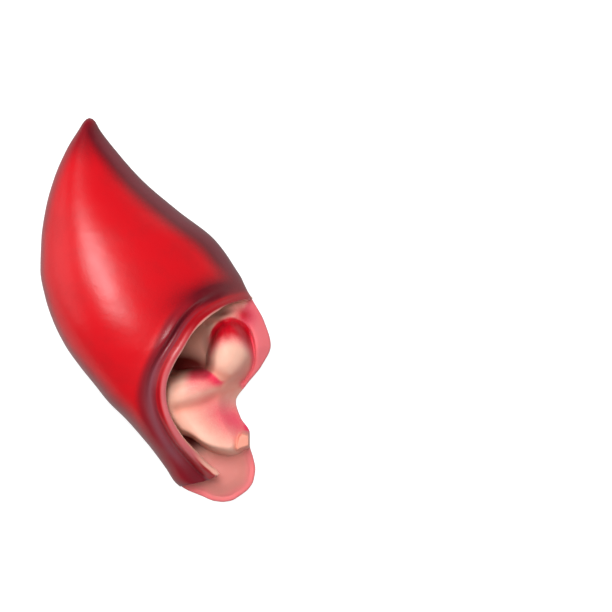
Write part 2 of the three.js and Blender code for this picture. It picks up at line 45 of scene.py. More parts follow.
# Cross-sections of the hood and back, from the tip to the lobe. Heights are shares of HOOD_HEIGHT.
SECTION_COLUMNS = ("down", "left", "right", "crest", "left_edge", "right_edge", "sole")
SECTIONS = (
    (0.0, 0.214, 0.214, 0.36, 0.36, 0.36, 0.36),
    (0.005, 0.196, 0.231, 0.4, 0.36, 0.36, 0.32),
    (0.031, 0.166, 0.257, 0.47, 0.36, 0.36, 0.24),
    (0.083, 0.113, 0.324, 0.57, 0.36, 0.35, 0.13),
    (0.161, 0.057, 0.44, 0.69, 0.36, 0.33, -0.03),
    (0.239, 0.022, 0.593, 0.8, 0.37, 0.3, -0.08),
    (0.316, 0.004, 0.757, 0.89, 0.37, 0.25, -0.08),
    (0.394, 0.0, 0.85, 0.955, 0.37, 0.18, -0.08),
    (0.467, 0.022, 0.915, 0.988, 0.37, 0.1, -0.08),
    (0.529, 0.057, 0.972, 1.0, 0.37, 0.05, -0.08),
    (0.591, 0.109, 1.0, 0.982, 0.36, 0.05, -0.08),
    (0.643, 0.17, 0.961, 0.943, 0.35, 0.05, -0.08),
    (0.695, 0.24, 0.892, 0.89, 0.34, 0.05, -0.08),
    (0.737, 0.296, 0.847, 0.83, 0.33, 0.05, -0.08),
    (0.778, 0.366, 0.867, 0.77, 0.31, 0.05, -0.08),
    (0.82, 0.43, 0.908, 0.69, 0.28, 0.05, -0.08),
    (0.851, 0.475, 0.908, 0.61, 0.25, 0.05, -0.08),
    (0.882, 0.514, 0.922, 0.49, 0.21, 0.05, -0.08),
    (0.913, 0.549, 0.932, 0.38, 0.16, 0.05, -0.08),
    (0.944, 0.58, 0.924, 0.29, 0.11, 0.05, -0.08),
    (0.965, 0.623, 0.903, 0.22, 0.07, 0.05, -0.08),
    (0.986, 0.706, 0.858, 0.14, 0.05, 0.05, -0.08),
    (0.9965, 0.748, 0.826, 0.09, 0.05, 0.05, -0.03),
    (1.0, 0.789, 0.789, 0.04, 0.04, 0.04, 0.04),
)
TIP = (0.214, 0.0)
CREST_AT = 0.32  # share of a section's width at which its crest lies
CREST_SKEW = math.log(0.5) / math.log(CREST_AT)
DOME_FULLNESS = 0.62
SOLE_SQUARENESS = 3.0
SOLE_FULLNESS = 0.5

# The lip's free edge, from the front edge round the mouth: (across, down)
LIP_EDGE = (
    (0.908, 0.472), (0.876, 0.475), (0.824, 0.486), (0.771, 0.5), (0.719, 0.521), (0.675, 0.548),
    (0.63, 0.591), (0.59, 0.63), (0.567, 0.662), (0.558, 0.694), (0.561, 0.732), (0.575, 0.766),
    (0.6, 0.8), (0.637, 0.836), (0.682, 0.868), (0.728, 0.898), (0.778, 0.921),
)

# Lines over the hood from the lip to the outline: (share of the lip, down on the outline). Down is
# counted below 0 on the front side, so the tip is 0 between the two sides.
HOOD_LINES = (
    (0.0, -0.468), (0.1, -0.39), (0.17, -0.3), (0.24, -0.17), (0.32, 0.0), (0.4, 0.14), (0.47, 0.32),
    (0.55, 0.47), (0.63, 0.62), (0.71, 0.73), (0.8, 0.81), (0.88, 0.88), (0.95, 0.93), (1.0, 0.958),
)

# The lip's roll and the channel behind it: rings of the surface at a distance from the lip's edge,
# pushed out or in: (distance, spread, push)
LIP_RINGS = {
    "rim": (1.5, 1.1, 0.55),
    "channel": (5.4, 1.9, -1.9),
    "swell": (9.9, 2.6, 0.3),
    "shoulder": (7.9, 1.5, 0.9),
}
CHANNEL_NARROWING = 0.33

# Outline of the cushion that the folds of the inner ear stand on: (across, down)
CUSHION = (
    (0.839, 0.516), (0.809, 0.517), (0.778, 0.525), (0.751, 0.543), (0.733, 0.567), (0.721, 0.593),
    (0.713, 0.621), (0.711, 0.645), (0.681, 0.649), (0.647, 0.649), (0.612, 0.652), (0.572, 0.66),
    (0.534, 0.673), (0.51, 0.704), (0.51, 0.745), (0.54, 0.79), (0.594, 0.82), (0.647, 0.832),
    (0.694, 0.852), (0.735, 0.867), (0.782, 0.877), (0.829, 0.88), (0.866, 0.873), (0.909, 0.854),
    (0.963, 0.82), (0.963, 0.74), (0.886, 0.697), (0.9, 0.677), (0.926, 0.653), (0.936, 0.621),
    (0.93, 0.589), (0.91, 0.557), (0.876, 0.527),
)
CUSHION_HEIGHT = 0.56
CUSHION_SHOULDER = 4.4
SHOULDER_ROUNDNESS = 2.7

# Soft swellings and dips: (across, down, radius across, radius down, turn in degrees, rise)
FOLDS = {
    "upper fold": (0.81, 0.6, 0.105, 0.08, 0.0, 0.38),
    "middle fold": (0.635, 0.706, 0.18, 0.06, 14.0, 0.4),
    "lower fold": (0.7, 0.82, 0.17, 0.045, -38.0, 0.25),
    "bowl": (0.86, 0.755, 0.11, 0.06, 0.0, -0.2),
}
GROUND = {
    "hood floor": (0.8, 0.525, 0.17, 0.08, 30.0, 0.56),
    "lobe": (0.773, 0.927, 0.19, 0.085, -15.0, 0.2),
}

# The strip along the front edge: its outline, which runs on outside the ear, its height, and the
# distance over which its inner side rises
STRIP = (
    (0.91, 0.452), (0.897, 0.482), (0.88, 0.505), (0.872, 0.52), (0.886, 0.537), (0.906, 0.565),
    (0.917, 0.597), (0.919, 0.625), (0.911, 0.649), (0.893, 0.671), (0.866, 0.695), (0.95, 0.724),
    (1.05, 0.661), (1.071, 0.581), (1.017, 0.501), (0.95, 0.44),
)
STRIP_RISE = 0.3
STRIP_SHOULDER = 1.6

# The trimmed nub at the front edge: its outline, the height of its cut face, the face's slope towards
# the front and the lobe, and the distance over which its sides rise
NUB = (
    (0.85, 0.822), (0.874, 0.811), (0.905, 0.814), (0.94, 0.824), (0.945, 0.842), (0.92, 0.856),
    (0.886, 0.864), (0.856, 0.87), (0.836, 0.864), (0.838, 0.844),
)
NUB_RISE = 0.5
NUB_SLOPE = (-0.12, 0.1)
NUB_SHOULDER = 1.6

# Creases pressed into the inner ear: (depth, radius, path)
CREASES = {
    "under the middle fold": (
        0.06,
        0.028,
        ((0.594, 0.756), (0.647, 0.749), (0.708, 0.74), (0.762, 0.722), (0.809, 0.702), (0.856, 0.681)),
    ),
    "under the upper fold": (
        0.08,
        0.035,
        ((0.716, 0.655), (0.762, 0.669), (0.809, 0.683), (0.849, 0.683), (0.882, 0.665), (0.906, 0.645)),
    ),
    "beside the strip": (
        0.05,
        0.02,
        ((0.856, 0.525), (0.886, 0.537), (0.909, 0.565), (0.92, 0.597), (0.92, 0.627), (0.908, 0.653)),
    ),
    "over the upper fold": (
        0.05,
        0.014,
        ((0.721, 0.533), (0.755, 0.529), (0.785, 0.537), (0.809, 0.551), (0.815, 0.567)),
    ),
}
SPREAD_END = math.exp(-4.0)

# Rounding of the corners between the raised parts, and the width of the fall to the ear's edge
BLEND = 1.6
NUB_BLEND = 1.0
EDGE_FALL = 6.0
NUB_FALL = 0.4
CUT_ROUNDING = 0.7

# The edges that the red sprays on the upper and the middle fold start from
UPPER_SPRAY = (
    (0.731, 0.58), (0.748, 0.557), (0.782, 0.537), (0.829, 0.528), (0.876, 0.537), (0.906, 0.557),
    (0.919, 0.58),
)
MIDDLE_SPRAY = (
    (0.614, 0.675), (0.641, 0.663), (0.681, 0.657), (0.721, 0.659), (0.755, 0.672), (0.785, 0.689),
)

# The slot between the lip and the lower fold, where a painted shadow lies
SLOT = ((0.612, 0.812), (0.646, 0.836), (0.68, 0.854), (0.72, 0.871))

# How far the hood's hem bows out below the straight line from the lip's end
HEM_BOW = 1.0

# The inner ear's sheet starts here, and its hidden side runs down under the hood: (down, across)
SHEET_TOP = 0.452
SHEET_SIDE = ((0.44, 0.53), (0.6, 0.53), (0.66, 0.5), (0.7, 0.46), (0.8, 0.49))
SHEET_INSET = 5.4
SHEET_WALL = 1.98

# Soft patches of paint or shade: (across, down, radius across, radius down, turn in degrees)
PATCHES = {
    "smudge": (0.745, 0.455, 0.16, 0.035, 20.0),
    "lower spray": (0.835, 0.784, 0.125, 0.036, -32.0),
    "front spray": (0.905, 0.802, 0.05, 0.025, -50.0),
    "corner spray": (0.885, 0.511, 0.05, 0.024, -30.0),
    "strip's foot": (0.91, 0.69, 0.05, 0.04, 20.0),
    # The notch patch is painted shade under the upper fold
    "notch": (0.84, 0.682, 0.09, 0.028, 20.0),
    # The next three patches are painted shadow under the lip, painted shade on the upper fold's left
    # flank, and painted shadow under the lip near the corner
    "painted_shadow": (0.625, 0.643, 0.14, 0.036, -8.0),
    "cavity's end": (0.722, 0.6, 0.022, 0.06, 0.0),
    "under the corner": (0.8, 0.508, 0.055, 0.012, 20.0),
    "steep side": (0.66, 0.84, 0.12, 0.05, -20.0),
}

# Bands over which a paint comes or goes, each from its start to its end
BANDS = {
    # Millimetres from the tip, the front outline or the back outline
    "tip": (4.0, 18.0),
    "front shade": (2.6, 8.2),
    # The front grey bands carry a painted sheen near the front outline
    "front grey": (1.6, 4.4),
    "grey from the tip": (3.0, 12.0),
    # Shares of the ear's length
    "front shade thins": (0.36, 0.43),
    "front grey ends": (0.4, 0.44),
    "back shade widens": (0.55, 0.75),
    "tip's back": (0.12, 0.32),
    "lobe": (0.83, 0.9),
    "lobe's rim": (0.84, 0.88),
    "floor ends": (0.8, 0.88),
    # Millimetres behind the lip's edge, or round its roll where they are below 0
    "channel": (3.3, 4.0),
    "hem from the lip": (3.0, 4.0),
    "hem ends": (10.0, 18.0),
    "smudge": (2.4, 4.6),
    "red edge": (0.3, 0.9),
    "red edge ends": (2.6, 4.6),
    "red line": (2.1, 2.9),
    "red line ends": (3.2, 3.9),
    "low red": (0.9, 1.5),
    "low red ends": (2.7, 3.3),
    "dull": (0.0, 0.8),
    "dull ends": (2.6, 3.6),
    "pink": (-1.3, -0.6),
    "pink ends": (1.7, 2.6),
    "pink at the corner": (0.1, 0.7),
    "bare": (-0.9, 0.4),
    "bare at the low end": (0.9, 1.4),
    "bare at the corner": (-0.3, 0.5),
    # Shares of the lip's length
    "channel starts": (0.14, 0.3),
    "grey starts": (0.36, 0.52),
    "hem starts": (0.78, 0.95),
    "low dark": (0.8, 0.95),
    "corner": (0.24, 0.4),
    "low end": (0.84, 0.94),
    # Millimetres below or above the edge that a spray starts from
    "upper spray": (3.0, 8.8),
    "above the upper spray": (0.8, 2.2),
    "middle spray": (0.6, 4.6),
    "middle mist": (3.6, 9.6),
    "above the middle spray": (0.3, 1.4),
    # Shares of the ear's width
    "upper spray starts": (0.715, 0.748),
    "upper spray ends": (0.9, 0.94),
    "middle spray starts": (0.61, 0.67),
    "middle spray ends": (0.775, 0.81),
    # Millimetres outside the strip, and from the slot's middle
    "strip": (-0.5, 1.2),
    "slot": (0.8, 2.2),
}

# Fineness of the meshes
HOOD_STATIONS = 280
SHEET_ROWS = 240
SHEET_COLUMNS = 180

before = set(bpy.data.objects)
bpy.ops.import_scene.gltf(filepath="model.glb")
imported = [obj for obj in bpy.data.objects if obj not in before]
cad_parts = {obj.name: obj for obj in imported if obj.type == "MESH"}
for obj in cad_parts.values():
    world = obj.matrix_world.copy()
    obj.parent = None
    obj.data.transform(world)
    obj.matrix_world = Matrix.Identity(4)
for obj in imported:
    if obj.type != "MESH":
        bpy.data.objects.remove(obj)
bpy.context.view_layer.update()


# Curves and distances


def column(name):
    """One named column of the section table."""
    return np.array([row[SECTION_COLUMNS.index(name)] for row in SECTIONS])


def smooth_curve(at, places, values):
    """A smooth curve through the values that keeps between its neighbours: each tangent is the
    harmonic mean of the two slopes beside it, or level where they differ in sign."""
    places, values = np.asarray(places, float), np.asarray(values, float)
    step = np.diff(places)
    slope = np.diff(values) / step
    product = slope[:-1] * slope[1:]
    total = np.where(product > 0, slope[:-1] + slope[1:], 1.0)
    inner = np.where(product > 0, 2 * product / total, 0.0)
    tangent = np.concatenate([slope[:1], inner, slope[-1:]])
    at = np.clip(at, places[0], places[-1])
    i = np.clip(np.searchsorted(places, at, side="right") - 1, 0, len(step) - 1)
    h = step[i]
    t = (at - places[i]) / h
    start = (1 + 2 * t) * (1 - t) ** 2
    end = t * t * (3 - 2 * t)
    return (
        start * values[i]
        + end * values[i + 1]
        + t * (1 - t) ** 2 * h * tangent[i]
        - t * t * (1 - t) * h * tangent[i + 1]
    )


def section(name, down):
    return smooth_curve(down, column("down"), column(name))


def plan(points):
    """Places given as shares, as millimetres from the lobe's end and the back edge."""
    shares = np.asarray(points, float)
    return np.stack([shares[:, 0] * EAR_WIDTH, (1 - shares[:, 1]) * EAR_LENGTH], axis=1)


def spline(points, count):
    """A Catmull-Rom curve through points, sampled evenly from one point to the next."""
    points = np.asarray(points, float)
    at = np.linspace(0, len(points) - 1, count)
    i = np.minimum(at.astype(int), len(points) - 2)
    t = (at - i)[:, None]
    a = points[np.maximum(i - 1, 0)]
    b = points[i]
    c = points[i + 1]
    d = points[np.minimum(i + 2, len(points) - 1)]
    out = (c - a) / 2
    into = (d - b) / 2
    bend = -3 * b + 3 * c - 2 * out - into
    turn = 2 * b - 2 * c + out + into
    return b + out * t + bend * t**2 + turn * t**3


def lengths_along(path):
    """The distance from a path's start to each of its points."""
    return np.concatenate([[0], np.cumsum(np.linalg.norm(np.diff(path, axis=0), axis=1))])


def nearest_on(path, x, y):
    """For each point, its distance to a path and how far along the path the nearest place lies."""
    best = np.full(np.shape(x), np.inf)
    along = np.zeros(np.shape(x))
    starts = lengths_along(path)
    for a, b, start in zip(path[:-1], path[1:], starts):
        step = b - a
        square = max(float(step @ step), 1e-9)
        share = np.clip(((x - a[0]) * step[0] + (y - a[1]) * step[1]) / square, 0, 1)
        distance = np.hypot(x - a[0] - share * step[0], y - a[1] - share * step[1])
        closer = distance < best
        best = np.where(closer, distance, best)
        along = np.where(closer, start + share * math.sqrt(square), along)
    return best, along


def inside(path, x, y):
    """Whether each point lies in a closed path: a level line from it crosses the path an odd number
    of times."""
    odd = np.zeros(np.shape(x), bool)
    for a, b in zip(path[:-1], path[1:]):
        spans = (a[1] > y) != (b[1] > y)
        rise = b[1] - a[1] if b[1] != a[1] else 1.0
        odd ^= spans & (x < a[0] + (b[0] - a[0]) * (y - a[1]) / rise)
    return odd


def smoothstep(value, low, high):
    t = np.clip((value - low) / (high - low), 0, 1)
    return t * t * (3 - 2 * t)


def rising(value, band):
    """0 before a named band, 1 after it, and smooth over it."""
    return smoothstep(value, *BANDS[band])


def falling(value, band):
    return 1 - rising(value, band)


def bell(value, middle, spread):
    return np.exp(-(((value - middle) / spread) ** 2))


def bell_over(ellipse, x, y):
    """A bell curve of the distance from an ellipse's centre, counted in its radii."""
    across, down, radius_across, radius_down, turn = ellipse
    angle = math.radians(turn)
    dx = x - across * EAR_WIDTH
    dy = y - (1 - down) * EAR_LENGTH
    u = (dx * math.cos(angle) + dy * math.sin(angle)) / (radius_across * EAR_WIDTH)
    v = (dy * math.cos(angle) - dx * math.sin(angle)) / (radius_down * EAR_LENGTH)
    return np.exp(-(u * u + v * v))


def patch(name, x, y):
    return bell_over(PATCHES[name], x, y)


def below_path(points, x, y):
    """How far each place lies below a path that runs across the ear."""
    path = spline(plan(points), 41)
    return np.interp(x, path[:, 0], path[:, 1]) - y


def dome(q):
    """Height over a section, from 0 at both edges to 1 at its crest: a power of a sine whose top is
    moved towards the back edge."""
    return np.sin(np.pi * np.clip(q, 0, 1) ** CREST_SKEW) ** DOME_FULLNESS


def belly(q):
    """Depth under a section, from 0 at both edges to 1 over most of its width."""
    return (1 - np.abs(2 * np.clip(q, 0, 1) - 1) ** SOLE_SQUARENESS) ** SOLE_FULLNESS


def hood_heights(x, y):
    """The hood's outer surface over the plan: its upper side and its under side."""
    down = 1 - y / EAR_LENGTH
    left = section("left", down) * EAR_WIDTH
    right = section("right", down) * EAR_WIDTH
    q = np.clip((x - left) / np.maximum(right - left, 1e-6), 0, 1)
    left_edge = section("left_edge", down)
    edge = (left_edge + (section("right_edge", down) - left_edge) * q) * HOOD_HEIGHT
    top = edge + (section("crest", down) * HOOD_HEIGHT - edge) * dome(q)
    under = edge - (edge - section("sole", down) * HOOD_HEIGHT) * belly(q)
    return top, np.maximum(under, 0)


def outline_side(name, count):
    """One side of the ear's outline from the tip down, closer together towards both ends."""
    down = (1 - np.cos(np.linspace(0, np.pi, count))) / 2
    down = down**1.5
    return np.stack([section(name, down) * EAR_WIDTH, (1 - down) * EAR_LENGTH], axis=1)


lip_path = spline(plan(LIP_EDGE), 161)
front_path = outline_side("right", 220)
back_path = outline_side("left", 220)
ear_outline = np.concatenate([front_path, back_path[::-1]])


# Meshes


def cut_opening(obj):
    """Cuts the oval opening in the back with an upright elliptical prism."""
    angle = np.linspace(0, 2 * np.pi, 96, endpoint=False)
    turn = math.radians(OPENING["turn"])
    u = OPENING_WIDTH / 2 * np.cos(angle)
    v = OPENING_LENGTH / 2 * np.sin(angle)
    centre = plan([(OPENING["across"], OPENING["down"])])[0] - (EAR_WIDTH / 2, EAR_LENGTH / 2)
    x = centre[0] + u * math.cos(turn) - v * math.sin(turn)
    y = centre[1] + u * math.sin(turn) + v * math.cos(turn)
    rings = [np.stack([x, y, np.full_like(x, z)], axis=1) for z in (-WALL, 2 * WALL)]
    count = len(angle)
    index = np.arange(2 * count).reshape(2, count)
    faces = grid_faces(index, close_columns=True).tolist()
    faces += [index[0, ::-1].tolist(), index[1].tolist()]
    mesh = bpy.data.meshes.new("opening")
    mesh.from_pydata(np.concatenate(rings) / 1000, [], faces)
    tool = bpy.data.objects.new("opening", mesh)
    bpy.context.collection.objects.link(tool)
    cut = obj.modifiers.new("opening", "BOOLEAN")
    cut.operation = "DIFFERENCE"
    cut.solver = "MANIFOLD"
    cut.object = tool
    bpy.context.view_layer.update()
    whole = obj.data
    seen = obj.evaluated_get(bpy.context.evaluated_depsgraph_get())
    obj.data = bpy.data.meshes.new_from_object(seen)
    obj.modifiers.clear()
    bpy.data.objects.remove(tool)
    bpy.data.meshes.remove(mesh)
    bpy.data.meshes.remove(whole)


def make_object(name, points, faces, attributes):
    """A smooth-shaded object from points in millimetres, with one number per point for each
    attribute."""
    mesh = bpy.data.meshes.new(name)
    shift = np.array([EAR_WIDTH / 2, EAR_LENGTH / 2, 0])
    mesh.from_pydata((points - shift) / 1000, [], faces)
    for key, values in attributes.items():
        layer = mesh.attributes.new(key, "FLOAT", "POINT")
        layer.data.foreach_set("value", np.ascontiguousarray(values, np.float32).ravel())
    mesh.shade_smooth()
    obj = bpy.data.objects.new(name, mesh)
    bpy.context.collection.objects.link(obj)
    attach(obj, "root")
    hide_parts("ear_casting")
    return obj


def grid_faces(index, close_columns=False):
    """The four-sided faces between neighbouring rows and columns of a grid of point numbers."""
    if close_columns:
        index = np.concatenate([index, index[:, :1]], axis=1)
    a, b, c, d = index[:-1, :-1], index[:-1, 1:], index[1:, 1:], index[1:, :-1]
    return np.stack([a, b, c, d], axis=-1).reshape(-1, 4)


def surface_normals(points):
    """Unit normals of a grid of points, from the cross product of its two directions."""
    along = np.gradient(points, axis=0)
    across = np.gradient(points, axis=1)
    normal = np.cross(along, across)
    return normal / np.maximum(np.linalg.norm(normal, axis=-1, keepdims=True), 1e-9)


def outward_normals(points):
    """Unit normals of a grid of points, turned away from the middle of the grid."""
    normals = surface_normals(points)
    centre = points.reshape(-1, 3).mean(axis=0)
    return -normals if ((points - centre) * normals).sum() < 0 else normals


# The hood


def hood_lines():
    """Plan points of the lip and of the outline at the two ends of each line over the hood."""
    table = np.array(HOOD_LINES)
    at = np.linspace(0, 1, HOOD_STATIONS)
    rows = np.linspace(0, 1, len(table))
    lip_lengths = lengths_along(lip_path)
    lip_at = smooth_curve(at, rows, table[:, 0]) * lip_lengths[-1]
    lip = np.stack([np.interp(lip_at, lip_lengths, lip_path[:, k]) for k in (0, 1)], axis=1)
    edge = np.concatenate([front_path[::-1], back_path[1:]])
    signed = 1 - edge[:, 1] / EAR_LENGTH
    signed[: len(front_path)] *= -1
    edge_lengths = lengths_along(edge)
    anchors = np.interp(table[:, 1], signed, edge_lengths)
    edge_at = smooth_curve(at, rows, anchors)
    outline = np.stack([np.interp(edge_at, edge_lengths, edge[:, k]) for k in (0, 1)], axis=1)
    return at, lip, outline


def narrowed(distance, lip_share):
    """Distances behind the lip, counted faster over the lip's upper half, where the channel is
    narrower."""
    return distance * (1 + CHANNEL_NARROWING * (1 - smoothstep(lip_share, 0.42, 0.6)))


def held_at_hem(normals, at, lines):
    """Normals turned into the upright plane of their line near the hem, so that a push along them
    keeps the hem straight."""
    side = np.stack([-lines[:, 1], lines[:, 0], 0 * at], axis=1)
    side /= np.linalg.norm(side, axis=1, keepdims=True)
    share = smoothstep(at, 0.965, 1.0)
    sideways = (normals * side[:, None]).sum(axis=-1, keepdims=True) * side[:, None]
    held = normals - sideways * share[:, None, None]
    return held / np.maximum(np.linalg.norm(held, axis=-1, keepdims=True), 1e-9)


def lip_roll(skin, normals, radius):
    """The lip's roll at each station: a half circle from the upper side to the inner side."""
    out = normals[:, -1:]
    edge_way = skin[:, -1:] - skin[:, -4:-3]
    edge_way /= np.linalg.norm(edge_way, axis=-1, keepdims=True)
    turn = np.linspace(0, np.pi, 16)[1:, None]
    return skin[:, -1:] - out * radius + radius * (out * np.cos(turn) + edge_way * np.sin(turn))


def hood_lining(skin, normals, at, near_lip, radius):
    """The hood's inner side, one wall inside its skin: thicker at the lip, thinner in the tip and at
    the lip's corner, and never below the flat back."""
    tip = plan([TIP])[0]
    from_tip = np.hypot(skin[..., 0] - tip[0], skin[..., 1] - tip[1])
    corner = smoothstep(at, 0.0, 0.06)[:, None]
    wall = WALL * (0.15 + 0.85 * smoothstep(from_tip, 1.0, 9.0)) * (0.15 + 0.85 * corner)
    wall = wall + (2 * radius[..., 0] - wall) * near_lip
    lining = skin - normals * wall[..., None]
    above, below = hood_heights(lining[..., 0], lining[..., 1])
    least = np.minimum(wall, 0.4 * np.maximum(above - below, 0))
    lining[..., 2] = np.maximum(lining[..., 2], below + least)
    return lining[:, ::-1][:, 1::2]


def end_caps(index, half):
    """Faces that close the first and the last loop, from its outer half to its inner half."""
    caps = []
    for station, order in ((0, (0, 1, 2, 3)), (len(index) - 1, (3, 2, 1, 0))):
        outer = index[station, :half]
        inner = index[station, half:][::-1]
        inner = inner[np.linspace(0, len(inner) - 1, len(outer)).round().astype(int)]
        quads = np.stack([outer[:-1], inner[:-1], inner[1:], outer[1:]], axis=1)
        caps.append(quads[:, order])
    faces = [list(dict.fromkeys(face)) for face in np.concatenate(caps).tolist()]
    return [face for face in faces if len(face) > 2]


def hood():
    """The hood as one skin: each station is a closed loop that runs in under the ear, round the
    outline, over the dome to the lip, round the lip's roll, and back inside at one wall's
    thickness."""
    at, lip, outline = hood_lines()
    span = np.linalg.norm(outline - lip, axis=1)
    near = np.minimum(13.0, 0.55 * span) / span
    close = np.linspace(0, 1, 60) ** 1.15
    far = 1 - (1 - np.linspace(0, 1, 100)[1:]) ** 1.8
    ends = smoothstep(at, 0.0, 0.12)
    lip_radius = LIP_RADIUS * (0.35 + 0.65 * ends)
    start = np.minimum(lip_radius, 0.2 * span) / span
    share = np.concatenate(
        [
            start[:, None] + (near - start)[:, None] * close,
            near[:, None] + (1 - near)[:, None] * far,
        ],
        axis=1,
    )
    bow = HEM_BOW * smoothstep(at, 0.93, 1.0)[:, None] * 6.75 * share * (1 - share) ** 2
    top = lip[:, None] + (outline - lip)[:, None] * share[..., None]
    top[..., 1] -= bow
    top_z = hood_heights(top[..., 0], top[..., 1])[0]
    top = np.concatenate([top, top_z[..., None]], axis=2)
    under_share = 1 - 0.985 * np.linspace(0, 1, 46)[1:] ** 1.9
    under = lip[:, None] + (outline - lip)[:, None] * under_share[None, :, None]
    under_z = hood_heights(under[..., 0], under[..., 1])[1]
    under = np.concatenate([under, under_z[..., None]], axis=2)

    # From the far end of the underside, round the outline and over the top to the lip
    skin = np.concatenate([under[:, ::-1], top[:, ::-1]], axis=1)
    is_top = np.arange(skin.shape[1]) >= under.shape[1]
    normals = outward_normals(skin)
    distance, along = nearest_on(lip_path, skin[..., 0], skin[..., 1])
    lip_at = along / lengths_along(lip_path)[-1]
    reach = narrowed(distance, lip_at)
    rings = {name: ring[2] * bell(reach, ring[0], ring[1]) for name, ring in LIP_RINGS.items()}
    push = rings["rim"] + rings["swell"] + rings["channel"] * smoothstep(lip_at, 0.08, 0.3)
    push = push + rings["shoulder"] * bell(lip_at, 0.3, 0.12)
    push = np.where(is_top[None], push, 0) * (0.25 + 0.75 * ends)[:, None]
    skin = skin + held_at_hem(normals, at, outline - lip) * push[..., None]
    normals = held_at_hem(outward_normals(skin), at, outline - lip)
    radius = lip_radius[:, None, None]
    roll = lip_roll(skin, normals, radius)
    near_lip = np.where(is_top[None], 1 - smoothstep(distance, 2.0, 5.0), 0)
    lining = hood_lining(skin, normals, at, near_lip, radius)

    loop = np.concatenate([skin, roll, lining], axis=1)
    stations, count = loop.shape[:2]
    index = np.arange(stations * count).reshape(stations, count)
    half = skin.shape[1] + roll.shape[1] // 2
    all_faces = grid_faces(index, close_columns=True).tolist() + end_caps(index, half)

    x, y = loop[..., 0], loop[..., 1]
    lip_distance, lip_along = nearest_on(lip_path, x, y)
    lip_share = lip_along / lengths_along(lip_path)[-1]
    column_at = np.arange(count)[None] + 0 * x
    roll_start = skin.shape[1]
    roll_end = roll_start + roll.shape[1]
    on_roll = (column_at >= roll_start) & (column_at < roll_end)
    roll_angle = np.clip((column_at - roll_start + 1) / roll.shape[1], 0, 1)
    is_inside = column_at >= roll_end
    # Runs on from the roll's inner side, below 0, over the lip and out over the hood
    from_lip = np.where(on_roll, LIP_RADIUS * (1 - np.pi * roll_angle), lip_distance)
    from_lip = np.where(from_lip > 0, narrowed(from_lip, lip_share), from_lip)
    front = nearest_on(front_path, x, y)[0]
    back = nearest_on(back_path, x, y)[0]
    points = loop.reshape(-1, 3)
    is_upper = (column_at >= under.shape[1]) & ~is_inside
    masks = hood_masks(x, y, from_lip, lip_share, front, back, is_upper, is_inside)
    return make_object("hood", points, all_faces, masks)


# The inner ear


def swelling(mound, x, y):
    """A soft rise over an ellipse: a bell curve, cut off level at twice its radii."""
    *ellipse, rise = mound
    spread = np.maximum(bell_over(ellipse, x, y) - SPREAD_END, 0) / (1 - SPREAD_END)
    return rise * INNER_EAR_HEIGHT * spread


def crease_depth(x, y):
    """The sum of the creases, each a bell curve of the distance to its path."""
    total = 0
    for depth, radius, path in CREASES.values():
        reach = nearest_on(spline(plan(path), 41), x, y)[0] / (radius * EAR_WIDTH)
        total = total + depth * INNER_EAR_HEIGHT * np.exp(-(reach**2))
    return total


def closed_curve(points, count):
    """A closed Catmull-Rom curve through a table of places, sampled evenly between them."""
    around = plan(points[-1:] + points + points[:2])
    curve = spline(around, count)
    first = round((count - 1) / (len(around) - 1))
    last = count - 1 - first
    return curve[first : last + 1]


def plateau(points, shoulder, roundness, x, y):
    """Rises from 0 at a closed outline to 1 inside it, as a power curve of the distance."""
    path = closed_curve(points, 4 * (len(points) + 2) + 1)
    reach = np.minimum(nearest_on(path, x, y)[0] / shoulder, 1)
    return np.where(inside(path, x, y), 1 - (1 - reach) ** roundness, 0)


def blend(a, b, rounding):
    """The greater of two heights, with the corner between them rounded: half the sum of the two, of
    the root of their squared difference plus the rounding squared, and of less the rounding."""
    return (a + b + np.sqrt((a - b) ** 2 + rounding**2) - rounding) / 2


def face_height(x, y):
    """Height of the inner ear's face: the blended ground, cushion and strip, less the creases, which
    fall to one wall's thickness at the ear's outline, and the nub on top."""
    ground = sum(swelling(mound, x, y) for mound in GROUND.values())
    top = CUSHION_HEIGHT * INNER_EAR_HEIGHT + sum(swelling(fold, x, y) for fold in FOLDS.values())
    shoulder = CUSHION_SHOULDER - 2.2 * patch("steep side", x, y)
    cushion = top * plateau(CUSHION, shoulder, SHOULDER_ROUNDNESS, x, y)
    strip = STRIP_RISE * INNER_EAR_HEIGHT * plateau(STRIP, STRIP_SHOULDER, 2.0, x, y)
    raised = blend(blend(ground, cushion, BLEND), strip, BLEND)
    raised = raised - crease_depth(x, y) * smoothstep(raised, 0.5, 4.0)
    edge = np.where(inside(ear_outline, x, y), nearest_on(ear_outline, x, y)[0], 0)
    fall = smoothstep(edge, -0.35 * EDGE_FALL, EDGE_FALL)
    middle = plan(NUB).mean(axis=0)
    slope = NUB_SLOPE[0] * (x - middle[0]) + NUB_SLOPE[1] * (y - middle[1])
    nub = (NUB_RISE * INNER_EAR_HEIGHT + slope) * plateau(NUB, NUB_SHOULDER, 2.0, x, y)
    nub = np.maximum(nub, 0) * smoothstep(edge, -0.3 * NUB_FALL, NUB_FALL)
    return WALL + np.maximum(blend(np.maximum(raised, 0) * fall, nub, NUB_BLEND), 0)


